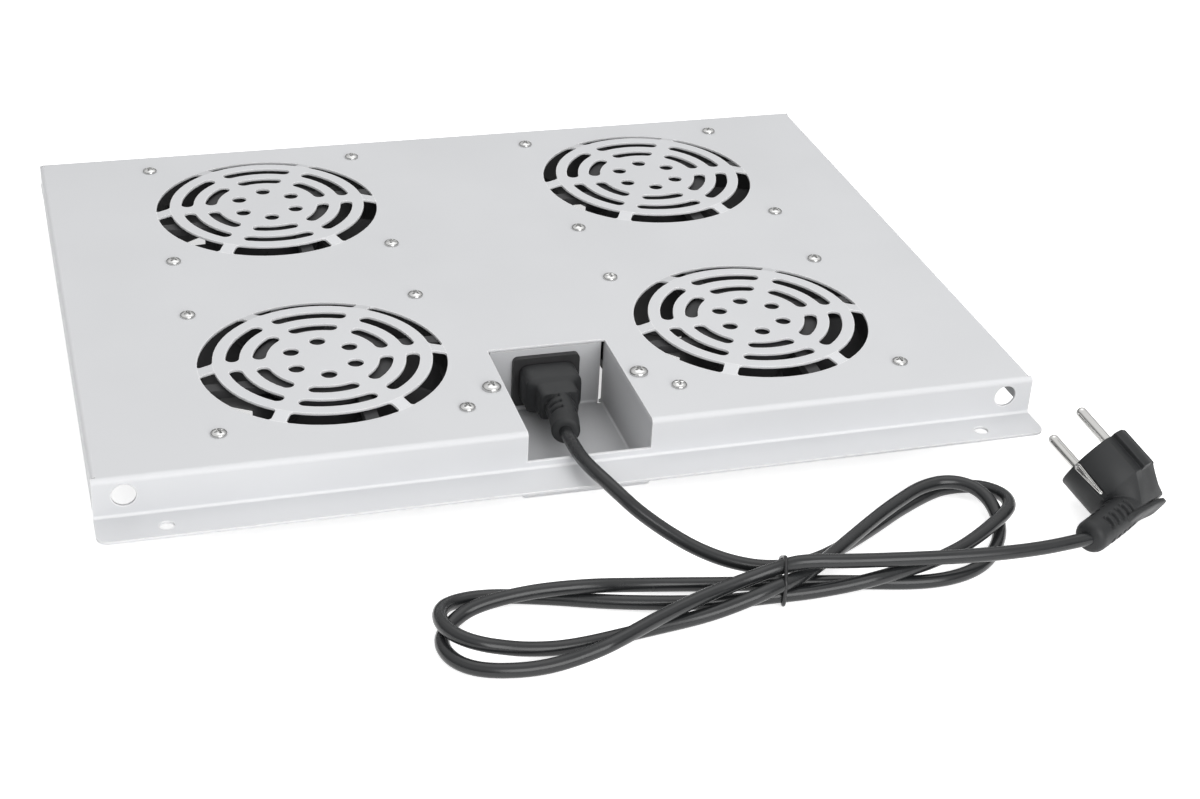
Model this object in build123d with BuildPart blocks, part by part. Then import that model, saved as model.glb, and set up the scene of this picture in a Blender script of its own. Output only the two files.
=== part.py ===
import os
from math import asin, cos, degrees, radians, sin, tan
from build123d import *

os.makedirs("parts", exist_ok=True)

# Driving dimensions, in millimetres. The tray stands on its fans, +Z is up and -Y is the front.

# Folded tray panel
sheet = 1.2
plate_width = 413
plate_depth = 310
tray_height = 18.8
flange_depth = 18
flange_corner = 5
skirt_height = 17
skirt_corner = 4
outer_bend = 2.2
corner_gap = 2
corner_notch = 1

# Rack holes in the flanges and cable holes in the front wall
flange_hole_radius = 3
flange_hole_spacing = 357
flange_hole_setback = 10.5
wall_hole_radius = 5
wall_hole_spacing = 387.6
wall_hole_drop = 8

# Fan layout
fan_size = 120
fan_depth = 38
fan_pitch_x = 200
fan_pitch_y = 160
fan_shift_y = 3
fan_hole_pitch = 105

# Embossed grille above each fan
grille_rise = 1.7
outer_slot_inside = 48
outer_slot_outside = 54.6
outer_slot_corner = 1.5
middle_slot_radius = 39.4
inner_slot_radius = 27.8
slot_width = 6
bridge_width = 6.6
vent_circle_radius = 15
vent_hole_radius = 3.6
grille_fold = 6

# Socket recess and its folded bracket
recess_width = 54.5
recess_depth = 72.6
recess_corner = 1
recess_sill_drop = 14.1
bracket_floor_drop = 32.5
bracket_lip = 11
bracket_clearance = 0.4
bracket_front_gap = 1
bracket_slit = 0.6
bracket_relief_radius = 1.25
bracket_screw_spacing = 66.8
bracket_screw_setback = 39.8

# Screws and nuts
screw_radius = 2
screw_clearance = 0.25
fan_screw_head_radius = 3.5
fan_screw_head_height = 2
fan_screw_length = 12
bracket_screw_head_radius = 4.2
bracket_screw_head_height = 2.6
bracket_screw_length = 9
nut_across_flats = 7
nut_height = 3.2

# Fan frame
frame_corner = 4
frame_flange = 4.5
bore_radius = 57.5
bore_wall = 2
bore_chamfer = 1.5
motor_base_radius = 31
motor_base_height = 3.5
strut_width = 6
strut_height = 4
strut_offset = 12
strut_count = 4
bearing_tube_radius = 6.5
bearing_tube_foot = 8
bearing_tube_cap = 2
terminal_block_length = 14
terminal_block_width = 8
terminal_block_height = 14
terminal_block_foot = 14
terminal_block_inset = 2
terminal_block_side = 42

# Rotor, impeller and motor
hub_radius = 31.5
hub_wall = 2
hub_foot = 4
hub_height = 27
blade_count = 7
blade_rise = 25
blade_root_reach = 14
blade_tip_reach = 25
blade_camber = 3
blade_thickness = 2
blade_sweep = 10
tip_clearance = 1
rotor_wall = 1.4
rotor_face = 1.5
rotor_boss_radius = 5
rotor_boss_height = 2
fit_clearance = 0.05
press_clearance = 0.02
shaft_radius = 2
bush_radius = 4.2
bush_length = 8
stator_gap = 0.7
stator_height = 12
stator_foot = 13
winding_radius = 20
winding_height = 18
pole_count = 4
pole_slot_width = 7
pole_slot_depth = 9
terminal_width = 2.8
terminal_thickness = 0.5
terminal_length = 8
terminal_spacing = 6

# Appliance inlet and the connector plugged into it
inlet_width = 31
inlet_height = 24.3
inlet_flange = 2.6
inlet_drop = 17
inlet_corner = 2.5
inlet_body_width = 27
inlet_body_height = 19.8
inlet_body_depth = 20
inlet_well_width = 24.4
inlet_well_height = 16.6
inlet_well_key = 4.5
inlet_well_depth = 17
pin_width = 2
pin_height = 4
pin_spacing = 14
earth_pin_offset = 4
pin_length = 14
tab_width = 6.3
tab_thickness = 0.8
tab_length = 8
plug_in_clearance = 0.4
connector_width = 27.5
connector_height = 18.5
connector_length = 15
connector_corner = 4
connector_waist_width = 16
connector_waist_height = 14
connector_shoulder = 8
relief_end_radius = 4.8
relief_middle_radius = 5.6

# Mains plug
plug_radius = 18
plug_flat = 16
plug_front_depth = 16
plug_cap_depth = 9
plug_cap_width = 22
plug_cap_height = 30
plug_cap_shift = 3
plug_groove_width = 6
plug_groove_depth = 2.5
clip_width = 4
clip_thickness = 1.2
clip_channel = 0.8
clip_length = 12
clip_setback = 1.5
plug_pin_radius = 2.4
plug_pin_length = 19
plug_pin_spacing = 19
plug_pin_seat = 4
plug_pin_root = 2
plug_outlet_drop = 20.5
plug_outlet_radius = 7
plug_outlet_reach = 28
plug_outlet_end_radius = 5.4
plug_pin_tip = 1.6
plug_heading = -131.9
plug_tilt = 48
plug_face = (215.3, -199.3, 25.5)

# Cord and its tied hank
cord_radius = 3.3
lead_points = [
    (-3, -131.5, 23.5),
    (-3.8, -144, 26.5),
    (-4.4, -158, 31),
    (-3, -174, 32),
    (2.5, -190, 28),
    (12, -201.5, 20.5),
    (25, -208, 11.5),
    (40, -213, 6.5),
    (57, -225.5, 7),
]
tail_points = [
    (68, -230.5, 10.5),
    (83, -227.5, 13.2),
    (100, -227, 16.8),
    (121, -228.5, 18.6),
    (142, -232.5, 18.8),
    (162, -238, 17),
    (180.5, -242.5, 12.5),
    (196.5, -238, 10.5),
]
hank_base = 1.6
hank_height = 12.6
hank_waist = (62, -235)
hank_waist_radius = 10
hank_neck_length = 10
left_lobe = (-58, -241)
left_lobe_radius = 27
right_lobe = (150, -212)
right_lobe_radius = 33
lobe_strands = 13
lobe_throat = 24
tie_thickness = 1
tie_width = 3
tie_clearance = 0.3

# Levels and places that follow from the sizes above
plate_top = fan_depth + sheet
flange_top = plate_top - tray_height + sheet
front_face = -plate_depth / 2
front_edge = front_face - flange_depth
inner_bend = outer_bend - sheet
skirt_half = plate_depth / 2 - sheet - corner_gap
recess_back = front_face + recess_depth
sill_level = plate_top - recess_sill_drop
floor_level = plate_top - bracket_floor_drop
bracket_front = front_face + sheet + bracket_front_gap
bracket_back = recess_back + bracket_clearance
bracket_half = recess_width / 2 + bracket_clearance
inlet_level = plate_top - inlet_drop
inlet_face = bracket_back - inlet_flange
hole_radius = screw_radius + screw_clearance
bracket_screw_y = front_face + bracket_screw_setback
fan_centres = {
    "back_left": (-fan_pitch_x / 2, fan_shift_y + fan_pitch_y / 2),
    "back_right": (fan_pitch_x / 2, fan_shift_y + fan_pitch_y / 2),
    "front_left": (-fan_pitch_x / 2, fan_shift_y - fan_pitch_y / 2),
    "front_right": (fan_pitch_x / 2, fan_shift_y - fan_pitch_y / 2),
}
# Each frame is turned so that its terminals face the middle of the tray
frame_turns = {"back_left": -90, "back_right": 180, "front_left": 0, "front_right": 90}
# Angles at which the four rotors stopped
rotor_turns = {"back_left": 8, "back_right": 24, "front_left": 0, "front_right": 35}


def save(piece, name):
    piece.part.label = name
    export_step(piece.part, f"parts/{name}.step")


def keyed_outline(width, height, key):
    """Rectangle with its two upper corners cut off, as on an appliance coupler."""
    with BuildSketch() as outline:
        with BuildLine():
            Polyline(
                (-width / 2, -height / 2),
                (width / 2, -height / 2),
                (width / 2, height / 2 - key),
                (width / 2 - key, height / 2),
                (-width / 2 + key, height / 2),
                (-width / 2, height / 2 - key),
                close=True,
            )
        make_face()
    return outline.sketch


# Grille openings of one fan, as one flat sketch
with BuildSketch() as grille_openings:
    with BuildSketch(mode=Mode.PRIVATE) as outer_slot:
        with BuildLine():
            low_inside = (outer_slot_inside**2 - (bridge_width / 2) ** 2) ** 0.5
            low_outside = (outer_slot_outside**2 - (bridge_width / 2) ** 2) ** 0.5
            side = Line((low_inside, bridge_width / 2), (low_outside, bridge_width / 2))
            far_side = mirror(side, Plane.XZ.rotated((0, 0, 180 / grille_fold)))
            RadiusArc(side @ 0, far_side @ 0, -outer_slot_inside)
            RadiusArc(side @ 1, far_side @ 1, -outer_slot_outside)
        make_face()
        fillet(outer_slot.vertices(), outer_slot_corner)
    with PolarLocations(0, grille_fold):
        add(outer_slot.sketch)
    for slot_radius in (middle_slot_radius, inner_slot_radius):
        end_angle = degrees(asin((bridge_width + slot_width) / 2 / slot_radius))
        with BuildLine(mode=Mode.PRIVATE) as slot_line:
            CenterArc((0, 0), slot_radius, end_angle, 360 / grille_fold - 2 * end_angle)
        with PolarLocations(0, grille_fold):
            SlotArc(slot_line.edge(), slot_width)
    with PolarLocations(vent_circle_radius, grille_fold, start_angle=180 / grille_fold):
        Circle(vent_hole_radius)

# Tray panel: one folded sheet with flanges, side skirts and four embossed grilles
with BuildPart() as tray_panel:
    with BuildSketch(Plane.YZ):
        with BuildLine():
            FilletPolyline(
                (front_edge, flange_top),
                (front_face, flange_top),
                (front_face, plate_top),
                (-front_face, plate_top),
                (-front_face, flange_top),
                (-front_edge, flange_top),
                radius=[inner_bend, outer_bend, outer_bend, inner_bend],
            )
            offset(amount=sheet, side=Side.RIGHT)
        make_face()
    extrude(amount=plate_width / 2, both=True)
    flange_ends = tray_panel.edges().filter_by(Axis.Z).group_by(lambda e: abs(e.center().Y))[-1]
    fillet(flange_ends, flange_corner)
    with BuildSketch(Plane.XY.offset(plate_top - outer_bend)):
        with Locations((-plate_width / 2, 0), (plate_width / 2, 0)):
            Rectangle(2 * outer_bend, 2 * (skirt_half + corner_notch))
    extrude(amount=outer_bend, mode=Mode.SUBTRACT)
    with BuildSketch(Plane.XZ):
        with BuildLine():
            FilletPolyline(
                (-plate_width / 2, plate_top - skirt_height),
                (-plate_width / 2, plate_top),
                (plate_width / 2, plate_top),
                (plate_width / 2, plate_top - skirt_height),
                radius=outer_bend,
            )
            offset(amount=sheet, side=Side.RIGHT)
        make_face()
    extrude(amount=skirt_half, both=True)
    skirt_ends = (
        tray_panel.edges()
        .filter_by(Axis.X)
        .filter_by(lambda e: abs(e.length - sheet) < 0.01)
        .filter_by(lambda e: abs(e.center().Z - (plate_top - skirt_height)) < 0.01)
    )
    fillet(skirt_ends, skirt_corner)
    # Grille dishes
    with BuildSketch(Plane.XY.offset(plate_top)):
        with Locations(*fan_centres.values()):
            Circle(outer_slot_outside)
    extrude(amount=-sheet, mode=Mode.SUBTRACT)
    for x, y in fan_centres.values():
        with BuildSketch(Plane(origin=(x, y, plate_top), x_dir=(1, 0, 0), z_dir=(0, -1, 0))):
            with BuildLine():
                Polyline(
                    (0, grille_rise),
                    (outer_slot_inside, grille_rise),
                    (outer_slot_outside, 0),
                    (outer_slot_outside, -sheet),
                    (outer_slot_inside, grille_rise - sheet),
                    (0, grille_rise - sheet),
                    close=True,
                )
            make_face()
        revolve(axis=Axis((x, y, 0), (0, 0, 1)))
    with BuildSketch(Plane.XY.offset(plate_top - 2 * sheet)):
        with Locations(*fan_centres.values()):
            add(grille_openings.sketch)
    extrude(amount=grille_rise + 3 * sheet, mode=Mode.SUBTRACT)
    # Socket recess through the plate and the upper part of the front wall
    with BuildSketch(Plane.XY.offset(sill_level)) as recess:
        with Locations((0, (front_face + recess_back) / 2 - sheet)):
            Rectangle(recess_width, recess_depth + 2 * sheet)
        fillet(recess.vertices().group_by(Axis.Y)[-1], recess_corner)
    extrude(amount=recess_sill_drop, mode=Mode.SUBTRACT)
    # Holes for fan screws, bracket screws, rack bolts and cables
    with Locations(*[(x, y, plate_top) for x, y in fan_centres.values()]):
        with GridLocations(fan_hole_pitch, fan_hole_pitch, 2, 2):
            Hole(hole_radius, 2 * sheet)
    with Locations((0, bracket_screw_y, plate_top)):
        with GridLocations(bracket_screw_spacing, 0, 2, 1):
            Hole(hole_radius, 2 * sheet)
    with Locations((0, 0, flange_top)):
        with GridLocations(flange_hole_spacing, plate_depth + 2 * flange_hole_setback, 2, 2):
            Hole(flange_hole_radius, 2 * sheet)
    with Locations(Plane.XZ.offset(-front_face)):
        with Locations((0, plate_top - wall_hole_drop)):
            with GridLocations(wall_hole_spacing, 0, 2, 1):
                Hole(wall_hole_radius, 2 * sheet)
save(tray_panel, "tray_panel")

# Socket bracket: a folded box under the recess, hung from the plate by two lips
with BuildPart() as socket_bracket:
    with BuildSketch(Plane.XZ.offset(-bracket_back - sheet)):
        with BuildLine():
            FilletPolyline(
                (-bracket_half - bracket_lip, fan_depth),
                (-bracket_half, fan_depth),
                (-bracket_half, floor_level),
                (bracket_half, floor_level),
                (bracket_half, fan_depth),
                (bracket_half + bracket_lip, fan_depth),
                radius=[outer_bend, inner_bend, inner_bend, outer_bend],
            )
            offset(amount=sheet, side=Side.RIGHT)
        make_face()
    extrude(amount=bracket_back + sheet - bracket_front)
    floor_half = bracket_half - inner_bend
    with BuildSketch(Plane.XY.offset(floor_level - sheet)):
        with Locations((0, bracket_back)):
            Rectangle(2 * floor_half, 2 * outer_bend)
    extrude(amount=sheet, mode=Mode.SUBTRACT)
    with BuildSketch(Plane.YZ):
        with BuildLine():
            FilletPolyline(
                (bracket_back - 2 * outer_bend, floor_level),
                (bracket_back, floor_level),
                (bracket_back, fan_depth - bracket_clearance),
                radius=inner_bend,
            )
            offset(amount=sheet, side=Side.RIGHT)
        make_face()
    extrude(amount=floor_half - bracket_slit, both=True)
    with Locations((0, bracket_back - inner_bend, floor_level)):
        with GridLocations(2 * floor_half - bracket_slit, 0, 2, 1):
            Hole(bracket_relief_radius, 2 * sheet)
    with BuildSketch(Plane.XZ.offset(-bracket_back)):
        with Locations((0, inlet_level)):
            Rectangle(inlet_body_width + 2 * fit_clearance, inlet_body_height + 2 * fit_clearance)
    extrude(amount=-2 * sheet, mode=Mode.SUBTRACT)
    with Locations((0, bracket_screw_y, fan_depth)):
        with GridLocations(bracket_screw_spacing, 0, 2, 1):
            Hole(hole_radius, 2 * sheet)
save(socket_bracket, "socket_bracket")

# Appliance inlet: flange on the bracket's back wall, keyed well in front, three pins with solder tabs
well_bottom = inlet_face + inlet_well_depth
inlet_back = bracket_back + inlet_body_depth
pin_places = [
    (-pin_spacing / 2, inlet_level),
    (0, inlet_level + earth_pin_offset),
    (pin_spacing / 2, inlet_level),
]
with BuildPart() as inlet_socket:
    with BuildSketch(Plane.XZ.offset(-bracket_back)):
        with Locations((0, inlet_level)):
            RectangleRounded(inlet_width, inlet_height, inlet_corner)
    extrude(amount=inlet_flange)
    with BuildSketch(Plane.XZ.offset(-bracket_back)):
        with Locations((0, inlet_level)):
            Rectangle(inlet_body_width, inlet_body_height)
    extrude(amount=-inlet_body_depth)
    with BuildSketch(Plane.XZ.offset(-inlet_face)):
        with Locations((0, inlet_level)):
            add(keyed_outline(inlet_well_width, inlet_well_height, inlet_well_key))
    extrude(amount=-inlet_well_depth, mode=Mode.SUBTRACT)
    with BuildSketch(Plane.XZ.offset(-well_bottom)):
        with Locations(*pin_places):
            Rectangle(pin_width + 2 * press_clearance, pin_height + 2 * press_clearance)
    extrude(amount=well_bottom - inlet_back, mode=Mode.SUBTRACT)
save(inlet_socket, "inlet_socket")

with BuildPart() as inlet_pins:
    with BuildSketch(Plane.XZ.offset(-inlet_back)):
        with Locations(*pin_places):
            Rectangle(pin_width, pin_height)
    extrude(amount=inlet_back - well_bottom + pin_length)
    with BuildSketch(Plane.XZ.offset(-inlet_back)):
        with Locations(*pin_places):
            Rectangle(tab_thickness, tab_width)
    extrude(amount=-tab_length)
save(inlet_pins, "inlet_pins")

# One fan, made once about its own axis and then placed at the four centres
hub_inside = hub_radius - hub_wall
rotor_radius = hub_inside - fit_clearance
tip_radius = bore_radius - tip_clearance
bush_seat = bush_radius + press_clearance
tube_top = fan_depth - bearing_tube_cap

with BuildPart() as frame_shape:
    for level in (0, fan_depth - frame_flange):
        with BuildSketch(Plane.XY.offset(level)):
            RectangleRounded(fan_size, fan_size, frame_corner)
        extrude(amount=frame_flange)
    with BuildSketch():
        Circle(bore_radius + bore_wall)
    extrude(amount=fan_depth)
    with BuildSketch(Plane.XY.offset(terminal_block_foot)):
        with Locations((fan_size / 2 - terminal_block_inset, terminal_block_side)):
            Rectangle(terminal_block_length, terminal_block_width, align=(Align.MAX, Align.MAX))
    extrude(amount=terminal_block_height)
    with BuildSketch():
        Circle(bore_radius)
    extrude(amount=fan_depth, mode=Mode.SUBTRACT)
    inlet_rim = frame_shape.edges().filter_by(GeomType.CIRCLE).group_by(Axis.Z)[0].sort_by(SortBy.RADIUS)[-1]
    chamfer(inlet_rim, bore_chamfer)
    with Locations((0, 0, fan_depth)):
        with GridLocations(fan_hole_pitch, fan_hole_pitch, 2, 2):
            Hole(hole_radius, fan_depth)
    with BuildSketch(Plane.XY.offset(fan_depth - strut_height)):
        with PolarLocations(0, strut_count):
            with Locations((fan_size / 4, strut_offset)):
                Rectangle(fan_size / 2, strut_width)
        Circle(bore_radius + bore_wall / 2, mode=Mode.INTERSECT)
    extrude(amount=strut_height)
    with BuildSketch(Plane.XY.offset(fan_depth - motor_base_height)):
        Circle(motor_base_radius)
    extrude(amount=motor_base_height)
    with BuildSketch(Plane.XY.offset(bearing_tube_foot)):
        Circle(bearing_tube_radius)
    extrude(amount=tube_top - bearing_tube_foot)
    with BuildSketch(Plane.XY.offset(bearing_tube_foot)):
        Circle(bush_seat)
    extrude(amount=tube_top - bearing_tube_foot, mode=Mode.SUBTRACT)


def blade_section(distance, turn, reach):
    """Thin cambered section across a blade, on a plane that faces outwards at this distance."""
    outwards = Vector(1, 0, 0).rotate(Axis.Z, turn)
    level = Vector(0, 0, hub_foot + hub_height / 2)
    tangent = Vector(0, 1, 0).rotate(Axis.Z, turn)
    leading = Vector(reach, -blade_rise / 2)
    trailing = Vector(-reach, blade_rise / 2)
    suction = Vector(-blade_rise, -2 * reach).normalized()
    with BuildSketch(Plane(origin=outwards * distance + level, x_dir=tangent, z_dir=outwards)) as section:
        with BuildLine():
            ThreePointArc(leading, suction * (blade_camber + blade_thickness / 2), trailing)
            ThreePointArc(leading, suction * (blade_camber - blade_thickness / 2), trailing)
        make_face()
    return section.sketch


root_distance = (hub_inside**2 - blade_root_reach**2) ** 0.5
with BuildPart() as blade_shape:
    add(blade_section(root_distance, 0, blade_root_reach))
    add(blade_section(bore_radius + bore_wall, blade_sweep, blade_tip_reach))
    loft(ruled=True)
    with BuildSketch():
        Circle(tip_radius)
        Circle(hub_radius - hub_wall / 2, mode=Mode.SUBTRACT)
    extrude(amount=fan_depth, mode=Mode.INTERSECT)

with BuildPart() as impeller_shape:
    with BuildSketch(Plane.XY.offset(hub_foot)):
        Circle(hub_radius)
        Circle(hub_inside, mode=Mode.SUBTRACT)
    extrude(amount=hub_height)
    with PolarLocations(0, blade_count):
        add(blade_shape.part)

with BuildPart() as rotor_shape:
    with BuildSketch(Plane.XY.offset(hub_foot)):
        Circle(rotor_radius)
    extrude(amount=hub_height)
    with BuildSketch(Plane.XY.offset(hub_foot + rotor_face)):
        Circle(rotor_radius - rotor_wall)
    extrude(amount=hub_height, mode=Mode.SUBTRACT)
    with BuildSketch(Plane.XY.offset(hub_foot)):
        Circle(rotor_boss_radius)
    extrude(amount=rotor_face + rotor_boss_height)
    with BuildSketch(Plane.XY.offset(hub_foot)):
        Circle(shaft_radius + press_clearance)
    extrude(amount=hub_height, mode=Mode.SUBTRACT)

with BuildPart() as shaft_shape:
    with BuildSketch(Plane.XY.offset(hub_foot)):
        Circle(shaft_radius)
    extrude(amount=tube_top - hub_foot - fit_clearance)

with BuildPart() as bearing_shape:
    for level in (bearing_tube_foot, tube_top - bush_length):
        with BuildSketch(Plane.XY.offset(level)):
            Circle(bush_radius)
            Circle(shaft_radius + fit_clearance, mode=Mode.SUBTRACT)
        extrude(amount=bush_length)

with BuildPart() as stator_shape:
    stack_radius = rotor_radius - rotor_wall - stator_gap
    with BuildSketch(Plane.XY.offset(stator_foot)):
        Circle(stack_radius)
        with PolarLocations(stack_radius, pole_count):
            Rectangle(2 * pole_slot_depth, pole_slot_width, mode=Mode.SUBTRACT)
    extrude(amount=stator_height)
    with BuildSketch(Plane.XY.offset(stator_foot + (stator_height - winding_height) / 2)):
        Circle(winding_radius)
    extrude(amount=winding_height)
    with BuildSketch():
        Circle(bearing_tube_radius + press_clearance)
    extrude(amount=fan_depth, mode=Mode.SUBTRACT)

with BuildPart() as terminal_shape:
    middle_x = fan_size / 2 - terminal_block_inset - terminal_block_length / 2
    middle_z = terminal_block_foot + terminal_block_height / 2
    with BuildSketch(Plane.XZ.offset(-terminal_block_side)):
        with Locations((middle_x, middle_z)):
            with GridLocations(0, terminal_spacing, 1, 2):
                Rectangle(terminal_width, terminal_thickness)
    extrude(amount=-terminal_length)

still_shapes = {
    "fan_frame": frame_shape,
    "fan_bearings": bearing_shape,
    "fan_stator": stator_shape,
    "fan_terminals": terminal_shape,
}
turning_shapes = {"impeller": impeller_shape, "rotor_cup": rotor_shape, "fan_shaft": shaft_shape}
for place, (x, y) in fan_centres.items():
    for shapes, turns in ((still_shapes, frame_turns), (turning_shapes, rotor_turns)):
        for kind, shape in shapes.items():
            with BuildPart() as fan_piece:
                with Locations(Location((x, y, 0), (0, 0, turns[place]))):
                    add(shape.part)
            save(fan_piece, f"{kind}_{place}")


def screw(head_radius, head_height, length):
    """Screw with a low domed head, standing on its seat at the origin."""
    with BuildPart() as shape:
        with BuildSketch(Plane.XZ):
            with BuildLine():
                dome = TangentArc((0, head_height), (head_radius, head_height / 4), tangent=(1, 0))
                Polyline(
                    dome @ 1,
                    (head_radius, 0),
                    (screw_radius, 0),
                    (screw_radius, -length),
                    (0, -length),
                    dome @ 0,
                )
            make_face()
        revolve(axis=Axis.Z)
    return shape.part


with BuildPart() as nut_shape:
    with BuildSketch(Plane.XY.offset(-nut_height)):
        RegularPolygon(nut_across_flats / 2, 6, major_radius=False, rotation=30)
        Circle(screw_radius + press_clearance, mode=Mode.SUBTRACT)
    extrude(amount=nut_height)

fan_screw = screw(fan_screw_head_radius, fan_screw_head_height, fan_screw_length)
with BuildPart() as fan_screws:
    with Locations(*[(x, y, plate_top) for x, y in fan_centres.values()]):
        with GridLocations(fan_hole_pitch, fan_hole_pitch, 2, 2):
            add(fan_screw)
save(fan_screws, "fan_screws")

with BuildPart() as fan_nuts:
    with Locations(*[(x, y, fan_depth - frame_flange) for x, y in fan_centres.values()]):
        with GridLocations(fan_hole_pitch, fan_hole_pitch, 2, 2):
            add(nut_shape.part)
save(fan_nuts, "fan_nuts")

bracket_screw = screw(bracket_screw_head_radius, bracket_screw_head_height, bracket_screw_length)
with BuildPart() as bracket_screws:
    with Locations((0, bracket_screw_y, plate_top)):
        with GridLocations(bracket_screw_spacing, 0, 2, 1):
            add(bracket_screw)
save(bracket_screws, "bracket_screws")

with BuildPart() as bracket_nuts:
    with Locations((0, bracket_screw_y, fan_depth - sheet)):
        with GridLocations(bracket_screw_spacing, 0, 2, 1):
            add(nut_shape.part)
save(bracket_nuts, "bracket_nuts")


def route(points, name):
    """Straight runs joined by the largest tangent arcs that they leave room for."""
    corners = [Vector(*point) for point in points]
    runs = [end - start for start, end in zip(corners, corners[1:])]
    turns = [before.get_angle(after) for before, after in zip(runs, runs[1:])]
    radii = [
        0.45 * min(before.length, after.length) / tan(radians(turn / 2))
        for before, after, turn in zip(runs, runs[1:], turns)
    ]
    print(name, "bend radii", [round(radius) for radius in radii])
    with BuildLine() as line:
        FilletPolyline(*corners, radius=radii)
    return line.wire()


def cord_tube(points, name):
    path = route(points, name)
    with BuildPart() as tube:
        with BuildSketch(Plane(origin=path @ 0, z_dir=path % 0)):
            Circle(cord_radius)
        sweep(path=path)
    print(name, "length", round(path.length), "volume", round(tube.part.volume))
    return tube


# Connector: keyed nose in the inlet, moulded body and a strain relief that the cord leaves
lead_start = Vector(*lead_points[0])
lead_way = (Vector(*lead_points[1]) - lead_start).normalized()
connector_face = inlet_face - plug_in_clearance
connector_back = connector_face - connector_length
waist_back = connector_back - connector_shoulder
nose_length = inlet_well_depth - plug_in_clearance
nose_slot = 2 * plug_in_clearance
with BuildPart() as cord_connector:
    with BuildSketch(Plane.XZ.offset(-connector_face)):
        with Locations((0, inlet_level)):
            add(keyed_outline(inlet_well_width - nose_slot, inlet_well_height - nose_slot, inlet_well_key))
    extrude(amount=-nose_length)
    with BuildSketch(Plane.XZ.offset(-connector_face)):
        with Locations((0, inlet_level)):
            RectangleRounded(connector_width, connector_height, connector_corner)
    extrude(amount=connector_length)
    with BuildSketch(Plane.XZ.offset(-connector_back)):
        with Locations((0, inlet_level)):
            RectangleRounded(connector_width, connector_height, connector_corner)
    with BuildSketch(Plane.XZ.offset(-waist_back)):
        with Locations((0, inlet_level)):
            RectangleRounded(connector_waist_width, connector_waist_height, connector_corner)
    loft()
    relief_start = Vector(0, waist_back, inlet_level)
    relief_middle = (relief_start + lead_start) / 2 - Vector(0, 0, cord_radius / 4)
    with BuildSketch(Plane(origin=relief_start, z_dir=(0, -1, 0))):
        Circle(connector_waist_height / 2)
    with BuildSketch(Plane(origin=relief_middle, z_dir=lead_start - relief_start)):
        Circle(relief_middle_radius)
    with BuildSketch(Plane(origin=lead_start, z_dir=lead_way)):
        Circle(relief_end_radius)
    loft()
    with BuildSketch(Plane.XZ.offset(-connector_face - nose_length)):
        with Locations(*pin_places):
            Rectangle(pin_width + nose_slot, pin_height + nose_slot)
    extrude(amount=pin_length + plug_in_clearance, mode=Mode.SUBTRACT)
save(cord_connector, "cord_connector")

# Mains plug: it lies tilted on the floor, its pins up and to the left, its cord outlet towards the front
outlet_way = Vector(1, 0, 0).rotate(Axis.Z, plug_heading)
plug_side = Vector(0, 1, 0).rotate(Axis.Z, plug_heading)
pin_way = Vector(0, 0, cos(radians(plug_tilt))) - plug_side * sin(radians(plug_tilt))
pin_line = Vector(0, 0, sin(radians(plug_tilt))) + plug_side * cos(radians(plug_tilt))
plug_plane = Plane(origin=plug_face, x_dir=pin_line, z_dir=pin_way)
tail_end = Vector(*tail_points[-1])
tail_way = (Vector(*tail_points[-2]) - tail_end).normalized()
outlet_root = plug_plane.origin - pin_way * plug_outlet_drop
outlet_neck = outlet_root + outlet_way * plug_outlet_reach
with BuildPart() as plug_body:
    with BuildSketch(plug_plane):
        Circle(plug_radius)
        Rectangle(2 * plug_radius, 2 * plug_flat, mode=Mode.INTERSECT)
        with GridLocations(2 * plug_radius, 0, 2, 1):
            Rectangle(2 * plug_groove_depth, plug_groove_width, mode=Mode.SUBTRACT)
        with GridLocations(0, 2 * plug_flat, 1, 2):
            Rectangle(clip_width + 2 * fit_clearance, 2 * clip_channel, mode=Mode.SUBTRACT)
    extrude(amount=-plug_front_depth)
    with BuildSketch(plug_plane.offset(-plug_front_depth)):
        Circle(plug_radius)
        Rectangle(2 * plug_radius, 2 * plug_flat, mode=Mode.INTERSECT)
    with BuildSketch(plug_plane.offset(-plug_front_depth - plug_cap_depth)):
        with Locations((0, plug_cap_shift)):
            RectangleRounded(plug_cap_width, plug_cap_height, connector_corner)
    loft()
    with BuildSketch(Plane(origin=outlet_root, z_dir=outlet_way)):
        Circle(plug_outlet_radius)
    extrude(amount=plug_outlet_reach)
    with BuildSketch(Plane(origin=outlet_neck, z_dir=outlet_way)):
        Circle(plug_outlet_radius)
    with BuildSketch(Plane(origin=tail_end, z_dir=tail_way)):
        Circle(plug_outlet_end_radius)
    loft()
    with Locations(plug_plane):
        with GridLocations(plug_pin_spacing, 0, 2, 1):
            Hole(plug_pin_root + press_clearance, plug_pin_seat)
save(plug_body, "plug_body")

with BuildPart() as plug_pins:
    with BuildSketch(plug_plane.offset(-plug_pin_seat)):
        with GridLocations(plug_pin_spacing, 0, 2, 1):
            Circle(plug_pin_root)
    extrude(amount=plug_pin_seat)
    with BuildSketch(plug_plane):
        with GridLocations(plug_pin_spacing, 0, 2, 1):
            Circle(plug_pin_radius)
    extrude(amount=plug_pin_length)
    tips = plug_pins.edges().filter_by(GeomType.CIRCLE).group_by(Axis(plug_face, pin_way))[-1]
    fillet(tips, plug_pin_tip)
save(plug_pins, "plug_pins")

with BuildPart() as plug_earth_clips:
    with BuildSketch(plug_plane.offset(-clip_setback)):
        with GridLocations(0, 2 * (plug_flat - clip_channel) + clip_thickness, 1, 2):
            Rectangle(clip_width, clip_thickness)
    extrude(amount=-clip_length)
save(plug_earth_clips, "plug_earth_clips")

# Cord: a lead from the connector, the tied hank and a tail to the plug
cord_lead = cord_tube(lead_points, "cord_lead")
save(cord_lead, "cord_lead")
cord_tail = cord_tube(tail_points, "cord_tail")
save(cord_tail, "cord_tail")

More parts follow.
